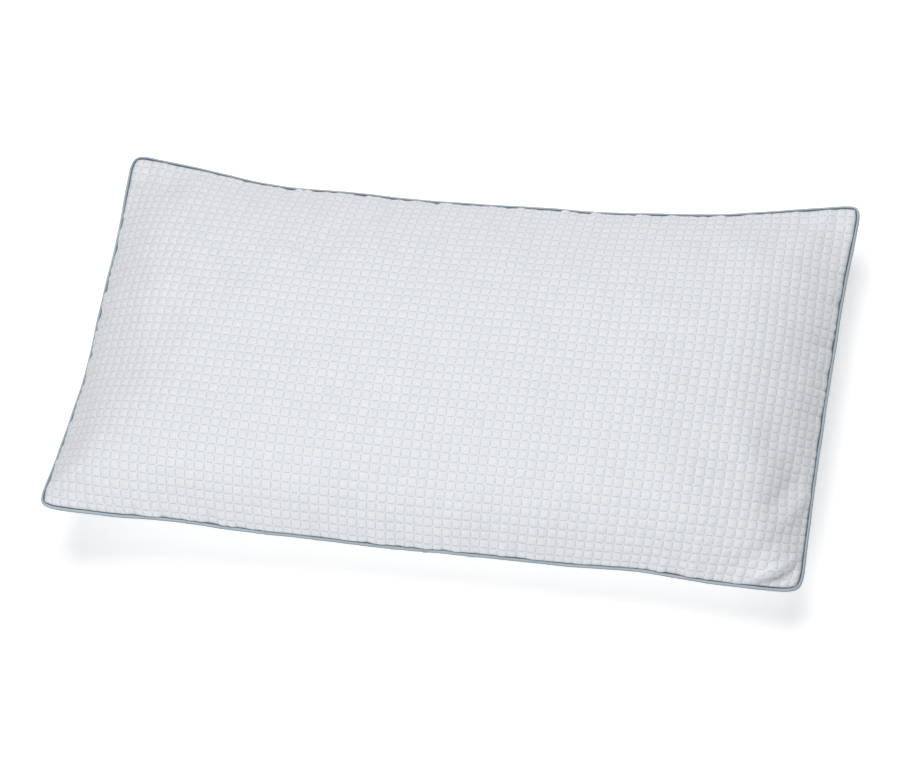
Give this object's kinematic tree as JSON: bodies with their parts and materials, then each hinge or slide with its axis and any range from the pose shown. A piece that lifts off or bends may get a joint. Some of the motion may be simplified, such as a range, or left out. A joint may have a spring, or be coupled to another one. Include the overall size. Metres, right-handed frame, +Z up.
{
  "type": "bed pillow",
  "caption": "King-size bed pillow with a jacquard-knit cover, grey-blue corded edge, inner lining bag and loose fibre fill, lying flat.",
  "frame": {"origin": "on the ground under the middle of the pillow, at the centre of its flattened underside", "axes": "+X along the pillow's length, +Y along its width, +Z up through its thickness"},
  "size_m": [0.9178, 0.5141, 0.1434],
  "materials": {
    "knit_cover": "soft raised square blocks in off-white knit with pale blue grooves",
    "satin_piping": "grey-blue satin, soft sheen",
    "lining": "plain white nonwoven, matte",
    "fibre": "white polyester fibre, matte",
    "cord": "undyed cotton cord",
    "thread": "polyester sewing thread, slight sheen",
    "label_tape": "blank woven tape, slight sheen"
  },
  "bodies": {
    "root": {"front_panel": "knit_cover", "back_panel": "knit_cover", "front_lining": "lining", "back_lining": "lining", "fibre_fill": "fibre", "piping_cover": "satin_piping", "piping_cord": "cord", "seam_thread": "thread", "closing_thread": "thread", "care_label": "label_tape"}
  },
  "joints": []
}
